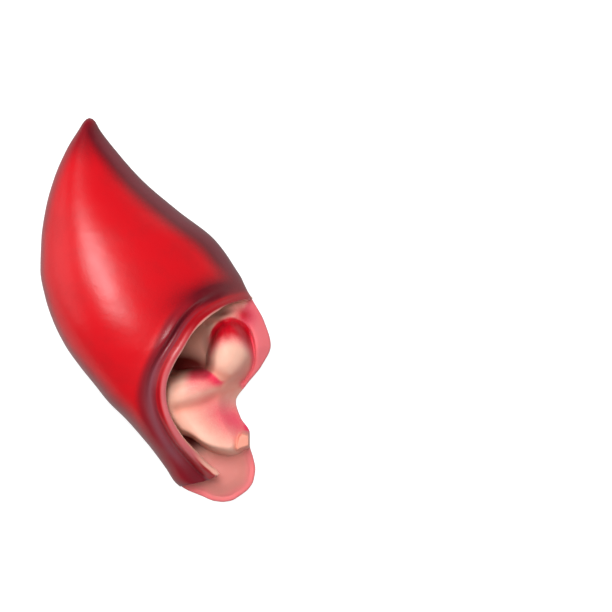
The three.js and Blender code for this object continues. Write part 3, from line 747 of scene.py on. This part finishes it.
def inner_ear():
    """The inner ear as one skin on a grid: rows along the ear, and each row from under the hood to
    the front outline. Its back lies one wall under its face."""
    down = SHEET_TOP + (1 - SHEET_TOP) * (1 - (1 - np.linspace(0, 1, SHEET_ROWS)) ** 1.25)
    down[-1] = 0.9995
    right = section("right", down) * EAR_WIDTH
    outline_left = section("left", down) * EAR_WIDTH
    side = np.array(SHEET_SIDE)
    under_lip = smooth_curve(down, side[:, 0], side[:, 1]) * EAR_WIDTH
    inset = SHEET_INSET * (1 - smoothstep(down, 0.9, 0.957))
    left = np.maximum(outline_left + inset, np.where(down < 0.8, under_lip, 0))
    u = 1 - (1 - np.linspace(0, 1, SHEET_COLUMNS)) ** 1.25
    x = left[:, None] + (right - left)[:, None] * u[None]
    y = np.repeat(((1 - down) * EAR_LENGTH)[:, None], SHEET_COLUMNS, axis=1)
    face_z = face_height(x, y)
    edge = nearest_on(ear_outline, x, y)[0]
    short = np.maximum(CUT_ROUNDING - edge, 0)
    drop = CUT_ROUNDING - np.sqrt(np.maximum(CUT_ROUNDING**2 - short**2, 0))
    low_end = smoothstep(down, 0.86, 0.9)[:, None] * (0.6 + 0.4 * np.sin(x / 3.1 + y / 2.3))
    trim = 0.22 * bell(edge, 1.7, 0.5) * low_end
    face_z = face_z - drop - trim
    face = np.stack([x, y, face_z], axis=2)
    normals = surface_normals(face)
    normals = np.where(normals[..., 2:] < 0, -normals, normals)
    margin = smoothstep(np.minimum(edge, x - left[:, None]), 0.6, 3.0)[..., None]
    offset = SHEET_WALL * normals
    back = face - offset * np.concatenate([0.6 * margin, 0.6 * margin, 1 + 0 * margin], axis=2)
    sunk = 0.8 * (1 - smoothstep(face_z, WALL, WALL + 3))
    back[..., 2] = np.maximum(back[..., 2] - sunk, 0.02)
    back[..., 2] = np.where(margin[..., 0] > 0, back[..., 2], 0.02)

    rows, columns = face.shape[:2]
    top = np.arange(rows * columns).reshape(rows, columns)
    bottom = top + rows * columns
    faces = [grid_faces(top)[:, ::-1], grid_faces(bottom)]
    rim = np.concatenate([top[0, :-1], top[:-1, -1], top[-1, :0:-1], top[:0:-1, 0]])
    rim_under = rim + rows * columns
    faces.append(
        np.stack([rim, np.roll(rim, -1), np.roll(rim_under, -1), rim_under], axis=1)
    )
    points = np.concatenate([face.reshape(-1, 3), back.reshape(-1, 3)])
    px, py = points[:, 0], points[:, 1]
    masks = inner_ear_masks(px, py, nearest_on(ear_outline, px, py)[0])
    is_face = np.repeat([1.0, 0.0], rows * columns)
    masks = {name: mask * is_face for name, mask in masks.items()}
    return make_object("inner_ear", points, np.concatenate(faces).tolist(), masks)


# Materials


class Paint:
    """A material whose nodes are made and joined by short calls."""

    def __init__(self, name):
        self.material = bpy.data.materials.new(name)
        self.material.use_nodes = True
        self.tree = self.material.node_tree
        self.shader = self.tree.nodes["Principled BSDF"]

    def node(self, kind, **values):
        made = self.tree.nodes.new("ShaderNode" + kind)
        for key, value in values.items():
            setattr(made, key, value)
        return made

    def put(self, socket, value):
        """Joins a socket to another node's output, or sets it to a number."""
        if isinstance(value, bpy.types.NodeSocket):
            self.tree.links.new(value, socket)
        else:
            socket.default_value = value

    def mask(self, name):
        return self.node("Attribute", attribute_name=name).outputs["Fac"]

    def noise(self, scale, detail):
        """Noise from -1 to 1, at a scale in features to the metre."""
        made = self.node("TexNoise")
        self.put(made.inputs["Vector"], self.node("TexCoord").outputs["Object"])
        made.inputs["Scale"].default_value = scale
        made.inputs["Detail"].default_value = detail
        return self.ramp(made.outputs["Fac"], 0.25, 0.75, -1.0, 1.0, smooth=False)

    def maths(self, operation, a, b=0.0, c=0.0):
        made = self.node("Math", operation=operation)
        for socket, value in zip(made.inputs, (a, b, c)):
            self.put(socket, value)
        return made.outputs["Value"]

    def ramp(self, value, low, high, start=0.0, end=1.0, smooth=True):
        """Maps a value between two limits to a new span, softly or in a straight line."""
        made = self.node("MapRange", interpolation_type="SMOOTHSTEP" if smooth else "LINEAR")
        numbers = (value, low, high, start, end)
        for name, number in zip(("Value", "From Min", "From Max", "To Min", "To Max"), numbers):
            self.put(made.inputs[name], number)
        return made.outputs["Result"]

    def mix(self, share, a, b):
        """Colour a where the share is 0, and colour b where it is 1."""
        made = self.node("Mix", data_type="RGBA")
        self.put(made.inputs["Factor"], share)
        colours = [socket for socket in made.inputs if socket.type == "RGBA"]
        self.put(colours[0], a)
        self.put(colours[1], b)
        return [socket for socket in made.outputs if socket.type == "RGBA"][0]

    def broken(self, mask, noise, amount):
        """A mask whose half-covered part is broken up by noise, as sprayed paint is. The noise
        fades to nothing where the mask is 0 or 1."""
        rest = self.maths("SUBTRACT", 1.0, mask)
        part = self.maths("MULTIPLY", mask, rest)
        cover = self.maths("MULTIPLY_ADD", self.maths("MULTIPLY", part, noise), amount, mask)
        return self.ramp(cover, 0.0, 1.0, smooth=False)

    def bump(self, height, strength, distance, below=None):
        made = self.node("Bump")
        made.inputs["Strength"].default_value = strength
        made.inputs["Distance"].default_value = distance
        self.put(made.inputs["Height"], height)
        if below is not None:
            self.put(made.inputs["Normal"], below)
        return made.outputs["Normal"]

    def finish(self, colour, roughness, normal, shine, coat, subsurface):
        inputs = self.shader.inputs
        self.put(inputs["Base Color"], colour)
        self.put(inputs["Roughness"], roughness)
        self.put(inputs["Normal"], normal)
        inputs["Coat Weight"].default_value = coat
        inputs["Coat Roughness"].default_value = 0.32
        inputs["Specular IOR Level"].default_value = shine
        inputs["Subsurface Weight"].default_value = subsurface
        inputs["Subsurface Scale"].default_value = 0.001
        inputs["Subsurface Radius"].default_value = (1.4, 0.5, 0.35)
        return self.material


# Paints, as light reflected in red, green and blue
RED = (0.62, 0.003, 0.009, 1)
DEEP_RED = (0.46, 0.002, 0.007, 1)
MAROON = (0.13, 0.003, 0.009, 1)
# Grey plum for a painted sheen near the front outline
PLUM = (0.17, 0.014, 0.026, 1)
OXBLOOD = (0.25, 0.004, 0.013, 1)
# Grey plum for the channel: partly its paint, partly a painted sheen, and a painted highlight streak on
# the lip's outer slope
GREY_PLUM = (0.25, 0.055, 0.075, 1)
SMOKE = (0.13, 0.01, 0.019, 1)
CHANNEL_RED = (0.27, 0.006, 0.014, 1)
LIP_PINK = (0.6, 0.13, 0.145, 1)
LIP_RED = (0.36, 0.002, 0.008, 1)
BARE = (0.9, 0.52, 0.4, 1)
# Darker flesh, for the random mottling and for the painted shade in recesses, creases and on the nub
BARE_SHADE = (0.8, 0.28, 0.2, 1)
SPRAY_RED = (0.56, 0.003, 0.014, 1)
SPRAY_ROSE = (0.84, 0.015, 0.1, 1)
STRIP_PINK = (0.82, 0.17, 0.19, 1)
LOBE_PINK = (0.62, 0.21, 0.18, 1)
# Dark red for painted shadow under the lip and in the slot
SHADOW_RED = (0.11, 0.006, 0.004, 1)


def hood_paint():
    """Red over the whole hood, sprayed dark along its edges, round the tip and behind the lip, with a
    painted sheen in grey plum along the front edge and in the channel, and a painted highlight streak on
    the lip's outer slope.
    """
    paint = Paint("red_latex_paint")
    speckle = paint.noise(2600, 4.0)
    cloud = paint.noise(120, 3.0)
    blotch = paint.noise(420, 4.0)
    wear = paint.maths("MULTIPLY_ADD", blotch, 0.35, cloud)
    wear = paint.maths("MULTIPLY_ADD", speckle, 0.5, wear)
    colour = paint.mix(paint.ramp(wear, -0.6, 1.0, 0.0, 0.35), RED, DEEP_RED)
    front = paint.broken(paint.mask("front_shade"), speckle, 0.5)
    colour = paint.mix(front, colour, MAROON)
    # A painted sheen near the front outline, in grey plum over the dark paint
    front_sheen = paint.broken(paint.mask("front_sheen"), speckle, 0.5)
    colour = paint.mix(front_sheen, colour, PLUM)
    back = paint.broken(paint.mask("back_shade"), speckle, 0.5)
    colour = paint.mix(back, colour, OXBLOOD)
    smudge = paint.broken(paint.mask("smudge"), speckle, 0.5)
    colour = paint.mix(smudge, colour, MAROON)
    channel = paint.broken(paint.mask("channel"), speckle, 0.5)
    colour = paint.mix(channel, colour, CHANNEL_RED)
    # Partly the channel's grey paint, partly a painted sheen, with a painted highlight streak on the
    # lip's outer slope
    grey = paint.broken(paint.mask("channel_sheen"), speckle, 0.4)
    colour = paint.mix(grey, colour, GREY_PLUM)
    colour = paint.mix(paint.mask("channel_dark"), colour, SMOKE)
    colour = paint.mix(paint.mask("lip_red"), colour, LIP_RED)
    pink = paint.broken(paint.mask("lip_pink"), speckle, 0.1)
    colour = paint.mix(pink, colour, LIP_PINK)
    colour = paint.mix(paint.mask("bare"), colour, BARE)
    grain = paint.bump(speckle, 0.16, 0.00005)
    normal = paint.bump(blotch, 0.04, 0.0004, grain)
    roughness = paint.ramp(wear, -1.0, 1.0, 0.3, 0.37, smooth=False)
    return paint.finish(colour, roughness, normal, shine=0.56, coat=0.05, subsurface=0.0)


def inner_ear_paint():
    """Bare flesh-coloured latex, sprayed red on the folds, the strip and the lobe's rim, with painted
    shade in its recesses, creases and notch and on the nub, and painted shadow under the lip and in the
    slot.
    """
    paint = Paint("flesh_latex")
    speckle = paint.noise(2400, 4.0)
    cloud = paint.noise(260, 3.0)
    colour = paint.mix(paint.ramp(cloud, -0.6, 1.0, 0.0, 0.2), BARE, BARE_SHADE)
    # Painted shade outside the cushion, in the creases and the notch, and on the nub
    colour = paint.mix(paint.mask("painted_shade"), colour, BARE_SHADE)
    colour = paint.mix(paint.broken(paint.mask("lobe"), speckle, 0.3), colour, LOBE_PINK)
    colour = paint.mix(paint.broken(paint.mask("strip"), speckle, 0.4), colour, STRIP_PINK)
    dye = paint.mix(paint.mask("thick"), SPRAY_ROSE, SPRAY_RED)
    colour = paint.mix(paint.broken(paint.mask("spray"), speckle, 0.5), colour, dye)
    # Painted shadow under the lip and in the slot
    colour = paint.mix(paint.mask("painted_shadow"), colour, SHADOW_RED)
    grain = paint.bump(speckle, 0.12, 0.00005)
    normal = paint.bump(cloud, 0.08, 0.0004, grain)
    roughness = paint.ramp(cloud, -1.0, 1.0, 0.44, 0.54, smooth=False)
    return paint.finish(colour, roughness, normal, shine=0.28, coat=0.0, subsurface=0.12)


def hood_masks(x, y, from_lip, lip_share, front, back, is_upper, is_inside):
    """Where each paint of the hood goes, from 0 to 1."""
    down = 1 - y / EAR_LENGTH
    tip = np.hypot(x - TIP[0] * EAR_WIDTH, y - EAR_LENGTH)
    shown = np.where(is_inside, 0.0, 1.0)

    # Along the two outlines and round the tip
    front_shade = 1.05 * falling(front, "front shade") * (1 - 0.4 * rising(down, "front shade thins"))
    front_shade = np.maximum(front_shade, 0.8 * falling(tip, "tip"))
    # A painted sheen in grey near the front outline, away from the tip
    front_sheen = 0.8 * falling(front, "front grey") * falling(down, "front grey ends")
    front_sheen = front_sheen * rising(tip, "grey from the tip")
    lower = rising(down, "back shade widens")
    reach = 2.6 + 3.4 * lower + 1.6 * falling(down, "tip's back")
    back_shade = (0.65 + 0.3 * lower) * (1 - smoothstep(back, 0.4, reach))

    # In the channel behind the lip, and along the hem
    outer = 8.4 + 2.4 * bell(lip_share, 0.3, 0.13)
    channel = rising(from_lip, "channel") * (1 - smoothstep(from_lip, outer, outer + 2.8))
    channel = channel * rising(lip_share, "channel starts")
    hem = rising(lip_share, "hem starts") * falling(from_lip, "hem ends")
    channel = np.maximum(channel, 0.95 * hem * rising(from_lip, "hem from the lip"))
    low_dark = 0.75 * rising(lip_share, "low dark") * bell(from_lip, 6.0, 3.5)
    dark = np.maximum(bell(lip_share, 0.3, 0.12) * bell(from_lip, 6.6, 1.4), low_dark)
    # Grey in the channel, partly paint and partly a painted sheen; then a thin painted highlight streak
    # on the lip's outer slope
    grey = rising(lip_share, "grey starts") * falling(lip_share, "low dark") * bell(from_lip, 5.9, 1.5)
    grey = np.maximum(grey, 0.7 * bell(lip_share, 0.34, 0.12) * bell(from_lip, 4.4, 0.6))
    smudge = 1.25 * patch("smudge", x, y) * rising(from_lip, "smudge")

    # Over the lip
    corner = falling(lip_share, "corner")
    end = rising(lip_share, "low end")
    red_edge = rising(from_lip, "red edge") * falling(from_lip, "red edge ends")
    red_line = rising(from_lip, "red line") * falling(from_lip, "red line ends")
    low_red = rising(from_lip, "low red") * falling(from_lip, "low red ends")
    dull = 0.75 * bell(lip_share, 0.4, 0.1) * rising(from_lip, "dull")
    lip_red = np.maximum(red_line, np.maximum(corner * red_edge, end * low_red))
    lip_red = np.maximum(lip_red, dull * falling(from_lip, "dull ends"))
    lip_pink = rising(from_lip, "pink") * falling(from_lip, "pink ends")
    lip_pink = lip_pink * (1 - corner * rising(from_lip, "pink at the corner"))
    lip_pink = lip_pink * (1 - 0.9 * end) * (1 - 0.8 * dull)
    bare = falling(from_lip, "bare")
    bare = np.maximum(bare, 0.75 * end * falling(from_lip, "bare at the low end"))
    bare = np.maximum(bare, 0.8 * corner * falling(from_lip, "bare at the corner"))
    return {
        "front_shade": front_shade * shown,
        "front_sheen": front_sheen * shown,
        "back_shade": back_shade * shown,
        "smudge": smudge * is_upper,
        "channel": channel * is_upper,
        "channel_sheen": grey * is_upper,
        "channel_dark": dark * is_upper,
        "lip_red": lip_red * is_upper,
        "lip_pink": lip_pink * is_upper,
        "bare": np.where(is_inside, 1.0, bare),
    }


def inner_ear_masks(x, y, edge):
    """Where each paint of the inner ear goes, from 0 to 1."""
    down = 1 - y / EAR_LENGTH
    across = x / EAR_WIDTH
    nub = plateau(NUB, 1.2, 1.0, x, y)

    # Sprays on the folds
    drop = below_path(UPPER_SPRAY, x, y)
    upper = falling(drop, "upper spray") * falling(-drop, "above the upper spray")
    upper = upper * rising(across, "upper spray starts") * falling(across, "upper spray ends")
    drop = below_path(MIDDLE_SPRAY, x, y)
    middle = 0.42 * falling(drop, "middle spray") + 0.5 * falling(drop, "middle mist")
    middle = middle * falling(-drop, "above the middle spray")
    middle = middle * rising(across, "middle spray starts")
    middle = middle * falling(across + 0.8 * drop / EAR_WIDTH, "middle spray ends")
    lower = 0.84 * patch("lower spray", x, y) ** 0.7
    lower = np.maximum(lower, 1.1 * patch("front spray", x, y))
    corner = 0.95 * patch("corner spray", x, y)

    # The strip, and the lobe with its ragged rim
    strip_edge = closed_curve(STRIP, 4 * (len(STRIP) + 2) + 1)
    beyond = nearest_on(strip_edge, x, y)[0] * np.where(inside(strip_edge, x, y), -1, 1)
    strip = np.maximum(falling(beyond, "strip"), 0.6 * patch("strip's foot", x, y))
    lobe = rising(down, "lobe") * (1 - plateau(CUSHION, 1.5, 2.0, x, y))
    ragged = 0.9 * np.sin(x / 1.9) * np.sin(y / 2.6 + 1)
    rim = rising(down, "lobe's rim") * (1 - smoothstep(edge, 0.2, 4.0 + ragged))

    # Painted shade outside the cushion, in the creases and the notch and on the nub's cut face; painted
    # shadow under the lip, painted shade on the upper fold's left flank, and painted shadow in the slot
    painted_shade = (1 - plateau(CUSHION, 2.0, 2.0, x, y)) * falling(down, "floor ends")
    shade = np.maximum(0.55 * patch("notch", x, y), 0.7 * np.minimum(crease_depth(x, y) / 1.4, 1))
    outside = 1 - plateau(CUSHION, 3.5, 2.0, x, y)
    # Painted shadow in the recess under the lip and near the corner, and painted shade on the upper
    # fold's left flank
    painted_shadow = 1.25 * patch("painted_shadow", x, y) * outside
    painted_shadow = np.maximum(painted_shadow, 0.5 * patch("cavity's end", x, y))
    painted_shadow = np.maximum(painted_shadow, 0.85 * patch("under the corner", x, y) * outside)
    # Painted shadow along the slot, fading towards its end
    path = spline(plan(SLOT), 41)
    slot, along = nearest_on(path, x, y)
    fade = 1 - smoothstep(along / lengths_along(path)[-1], 0.45, 1.1)
    slot_shadow = falling(slot, "slot") * fade * (1 - plateau(CUSHION, 1.2, 1.0, x, y))
    return {
        "spray": np.maximum(np.maximum(upper, middle), np.maximum(lower, corner)) * (1 - nub),
        "thick": np.minimum(np.maximum(upper, corner) ** 1.5 + 0.4 * middle**2, 1),
        "strip": np.maximum(strip, 0.8 * rim) * (1 - nub),
        "lobe": lobe * (1 - nub),
        # Painted shade: faint outside the cushion, stronger on the nub and in the creases and the notch
        "painted_shade": np.maximum(np.maximum(0.15 * painted_shade, 0.8 * nub), shade),
        "painted_shadow": np.minimum(np.maximum(painted_shadow, slot_shadow), 1),
    }


hood_object = hood()
sheet_object = inner_ear()
hood_object.data.materials.append(hood_paint())
sheet_object.data.materials.append(inner_ear_paint())
cut_opening(hood_object)


# Table, light and camera

FRAME_WIDTH = 198.3  # width of the view at the ear, in millimetres
VIEW_CENTRE = (48.7, 1.5)
CAMERA_HEIGHT = 1500.0
FOCUS_HEIGHT = 12.0  # height at which the view has its width
SENSOR = 36.0
TABLE_HALF = 1.5  # in metres, like the lights' places and sizes
TABLE_LEVEL = -0.0002
AIM = (0, 0, 0.02)


def table_top():
    mesh = bpy.data.meshes.new("table")
    corners = ((-1, -1), (1, -1), (1, 1), (-1, 1))
    points = [(x * TABLE_HALF, y * TABLE_HALF, TABLE_LEVEL) for x, y in corners]
    mesh.from_pydata(points, [], [(0, 1, 2, 3)])
    table = bpy.data.objects.new("table", mesh)
    bpy.context.collection.objects.link(table)
    paint = Paint("pale_table")
    paint.shader.inputs["Base Color"].default_value = (0.42, 0.42, 0.42, 1)
    paint.shader.inputs["Roughness"].default_value = 0.95
    paint.shader.inputs["Emission Color"].default_value = (1, 1, 1, 1)
    seen = paint.node("LightPath").outputs["Is Camera Ray"]
    paint.put(paint.shader.inputs["Emission Strength"], paint.maths("MULTIPLY", seen, 0.8))
    mesh.materials.append(paint.material)


def soft_light(name, place, size, power, spin=0.0, mirrored=True):
    """An area light, turned about its own axis, which can be left out of reflections."""
    data = bpy.data.lights.new(name, "AREA")
    data.shape = "ELLIPSE"
    data.size, data.size_y = size
    data.energy = power
    lamp = bpy.data.objects.new(name, data)
    lamp.location = place
    lamp.visible_glossy = mirrored
    way = Vector(AIM) - Vector(place)
    turn = Quaternion((0, 0, 1), math.radians(spin))
    lamp.rotation_euler = (way.to_track_quat("-Z", "Y") @ turn).to_euler()
    bpy.context.collection.objects.link(lamp)


table_top()
soft_light("key_light", (-0.14, 0.43, 1.1), (0.48, 0.66), 9.4, spin=36)
soft_light("side_light", (-0.95, 0.15, 0.4), (1.2, 0.9), 2.6)
soft_light("overhead_light", (0.02, 0.22, 1.75), (0.8, 0.8), 13.5, mirrored=False)
soft_light("fill_light", (0.8, -0.5, 0.7), (1.0, 1.0), 2.0, mirrored=False)

world = bpy.data.worlds.new("studio")
bpy.context.scene.world = world
world.use_nodes = True
world.node_tree.nodes["Background"].inputs["Color"].default_value = (1, 1, 1, 1)
world.node_tree.nodes["Background"].inputs["Strength"].default_value = 0.22
world.cycles_visibility.glossy = False
bpy.context.scene.view_settings.view_transform = "Standard"

camera_data = bpy.data.cameras.new("camera")
camera_data.sensor_width = SENSOR
camera_data.lens = SENSOR * (CAMERA_HEIGHT - FOCUS_HEIGHT) / FRAME_WIDTH
camera = bpy.data.objects.new("camera", camera_data)
camera.location = (VIEW_CENTRE[0] / 1000, VIEW_CENTRE[1] / 1000, CAMERA_HEIGHT / 1000)
bpy.context.collection.objects.link(camera)
bpy.context.scene.camera = camera
